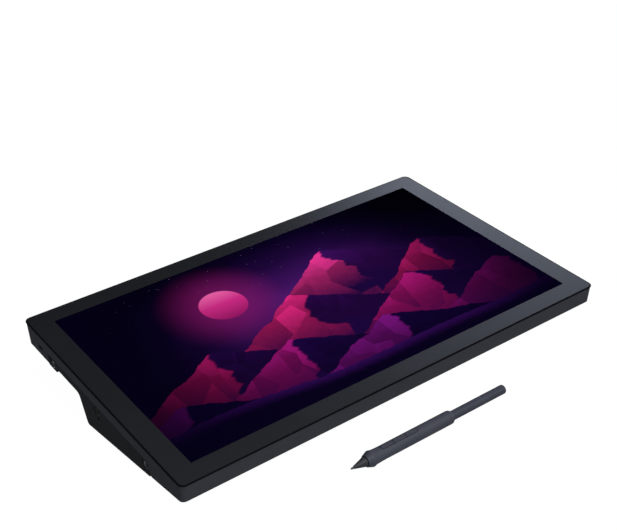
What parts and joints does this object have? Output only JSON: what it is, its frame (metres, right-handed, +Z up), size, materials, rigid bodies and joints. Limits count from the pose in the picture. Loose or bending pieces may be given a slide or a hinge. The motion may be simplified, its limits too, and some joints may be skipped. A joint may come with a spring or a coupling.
{
  "type": "graphics tablet with screen",
  "caption": "Flat pen display on a wedge-shaped housing that inclines the screen, with side accessory sockets, rear keys and a pressure-sensitive pen.",
  "frame": {"origin": "middle of the rear foot strip's underside, on the desk", "axes": "+X to the right along the screen, +Y to the rear, +Z up from the desk"},
  "size_m": [0.4212, 0.3053, 0.0677],
  "materials": {
    "etched_glass": "etched anti-glare face with a black printed border and an edge-to-edge picture area",
    "gasket_black": "soft black adhesive foam",
    "optical_clear": "clear bonding layer",
    "panel_glass": "dark liquid crystal glass",
    "film_white": "white film",
    "acrylic_clear": "clear acrylic",
    "led_strip": "strip with small lamps",
    "sheet_steel": "plain sheet",
    "frame_plastic": "fine matte",
    "board_green": "solder mask",
    "cast_alloy": "die cast",
    "shell_matte": "very fine matte paint, blue-black",
    "housing_matte": "fine spark texture, near black",
    "foot_rubber": "matte rubber",
    "socket_steel": "turned",
    "insert_brass": "turned",
    "chip_black": "moulded package",
    "copper": "plain copper",
    "fin_alloy": "plain",
    "fan_steel": "plain sheet",
    "fan_plastic": "fine matte",
    "port_steel": "drawn shell",
    "port_plastic": "moulded",
    "key_plastic": "fine matte",
    "ribbon_film": "polyimide film",
    "screw_steel": "black zinc",
    "pen_matte": "fine matte, slate grey",
    "pen_rubber": "soft-touch rubber, slate grey",
    "pen_nose_plastic": "fine matte",
    "pen_nib_plastic": "plain",
    "pen_button_plastic": "fine matte"
  },
  "bodies": {
    "tablet": {"cover_glass": "etched_glass", "glass_gasket": "gasket_black", "optical_bond": "optical_clear", "lcd_cell": "panel_glass", "diffuser_sheet": "film_white", "light_guide_plate": "acrylic_clear", "reflector_sheet": "film_white", "led_bar": "led_strip", "backlight_tray": "sheet_steel", "panel_frame": "frame_plastic", "pen_sensor_board": "board_green", "sensor_shield": "sheet_steel", "chassis_plate": "cast_alloy", "main_shell": "shell_matte", "rear_housing": "housing_matte", "base_cover": "housing_matte", "foot_strips": "foot_rubber", "socket_inserts": "socket_steel", "vesa_inserts": "insert_brass", "lock_slot_plate": "sheet_steel", "main_board": "board_green", "main_chips": "chip_black", "board_standoffs": "insert_brass", "heat_spreader": "copper", "heat_sink": "fin_alloy", "fan_housing": "frame_plastic", "fan_cover": "fan_steel", "usb_c_ports": "port_steel", "hdmi_port": "port_steel", "display_port": "port_steel", "usb_a_port": "port_steel", "port_tongues": "port_plastic", "key_board_left": "board_green", "key_board_right": "board_green", "switch_board": "board_green", "display_ribbon": "ribbon_film", "sensor_ribbon": "ribbon_film", "cover_screws": "screw_steel", "housing_screws": "screw_steel"},
    "pen": {"pen_barrel": "pen_matte", "pen_grip": "pen_rubber", "pen_nose": "pen_nose_plastic", "pen_board": "board_green", "pen_sensor_unit": "copper"},
    "fan_rotor": {"fan_rotor": "fan_plastic"},
    "key_left_1": {"key_left_1": "key_plastic"},
    "key_left_2": {"key_left_2": "key_plastic"},
    "key_left_3": {"key_left_3": "key_plastic"},
    "key_left_4": {"key_left_4": "key_plastic"},
    "key_right_1": {"key_right_1": "key_plastic"},
    "key_right_2": {"key_right_2": "key_plastic"},
    "key_right_3": {"key_right_3": "key_plastic"},
    "key_right_4": {"key_right_4": "key_plastic"},
    "power_button": {"power_button": "key_plastic"},
    "touch_switch": {"touch_switch": "key_plastic"},
    "pen_nib": {"pen_nib": "pen_nib_plastic"},
    "pen_button_1": {"pen_button_1": "pen_button_plastic"},
    "pen_button_2": {"pen_button_2": "pen_button_plastic"},
    "pen_button_3": {"pen_button_3": "pen_button_plastic"}
  },
  "joints": [
    {"name": "fan_spin", "type": "hinge", "parent": "tablet", "child": "fan_rotor", "pos_m": [0.095, -0.035, 0.01], "axis": [0, 0, 1], "continuous": true},
    {"name": "key_left_1_press", "type": "slide", "parent": "tablet", "child": "key_left_1", "axis": [0, -0.1908, 0.9816], "range_m": [0, 0.0008], "stiffness_N_per_m": 300, "springref_m": -0.0004},
    {"name": "key_left_2_press", "type": "slide", "parent": "tablet", "child": "key_left_2", "axis": [0, -0.1908, 0.9816], "range_m": [0, 0.0008], "stiffness_N_per_m": 300, "springref_m": -0.0004},
    {"name": "key_left_3_press", "type": "slide", "parent": "tablet", "child": "key_left_3", "axis": [0, -0.1908, 0.9816], "range_m": [0, 0.0008], "stiffness_N_per_m": 300, "springref_m": -0.0004},
    {"name": "key_left_4_press", "type": "slide", "parent": "tablet", "child": "key_left_4", "axis": [0, -0.1908, 0.9816], "range_m": [0, 0.0008], "stiffness_N_per_m": 300, "springref_m": -0.0004},
    {"name": "key_right_1_press", "type": "slide", "parent": "tablet", "child": "key_right_1", "axis": [0, -0.1908, 0.9816], "range_m": [0, 0.0008], "stiffness_N_per_m": 300, "springref_m": -0.0004},
    {"name": "key_right_2_press", "type": "slide", "parent": "tablet", "child": "key_right_2", "axis": [0, -0.1908, 0.9816], "range_m": [0, 0.0008], "stiffness_N_per_m": 300, "springref_m": -0.0004},
    {"name": "key_right_3_press", "type": "slide", "parent": "tablet", "child": "key_right_3", "axis": [0, -0.1908, 0.9816], "range_m": [0, 0.0008], "stiffness_N_per_m": 300, "springref_m": -0.0004},
    {"name": "key_right_4_press", "type": "slide", "parent": "tablet", "child": "key_right_4", "axis": [0, -0.1908, 0.9816], "range_m": [0, 0.0008], "stiffness_N_per_m": 300, "springref_m": -0.0004},
    {"name": "power_press", "type": "slide", "parent": "tablet", "child": "power_button", "axis": [0, -0.9816, -0.1908], "range_m": [0, 0.0006], "stiffness_N_per_m": 500, "springref_m": -0.0004},
    {"name": "touch_slide", "type": "slide", "parent": "tablet", "child": "touch_switch", "axis": [1, 0, 0], "range_m": [0, 0.0034]},
    {"name": "pen_lift", "type": "slide", "parent": "tablet", "child": "pen", "axis": [0, 0, 1], "range_m": [0, 0.15]},
    {"name": "nib_press", "type": "slide", "parent": "pen", "child": "pen_nib", "axis": [0.9998, 0.0138, -0.0117], "range_m": [0, 0.0005], "stiffness_N_per_m": 1000, "springref_m": -0.0003},
    {"name": "pen_button_1_press", "type": "slide", "parent": "pen", "child": "pen_button_1", "axis": [-0.0136, 0.1476, -0.9889], "range_m": [0, 0.00035], "stiffness_N_per_m": 800, "springref_m": -0.0004},
    {"name": "pen_button_2_press", "type": "slide", "parent": "pen", "child": "pen_button_2", "axis": [-0.0136, 0.1476, -0.9889], "range_m": [0, 0.00035], "stiffness_N_per_m": 800, "springref_m": -0.0004},
    {"name": "pen_button_3_press", "type": "slide", "parent": "pen", "child": "pen_button_3", "axis": [-0.0136, 0.1476, -0.9889], "range_m": [0, 0.00035], "stiffness_N_per_m": 800, "springref_m": -0.0004}
  ]
}
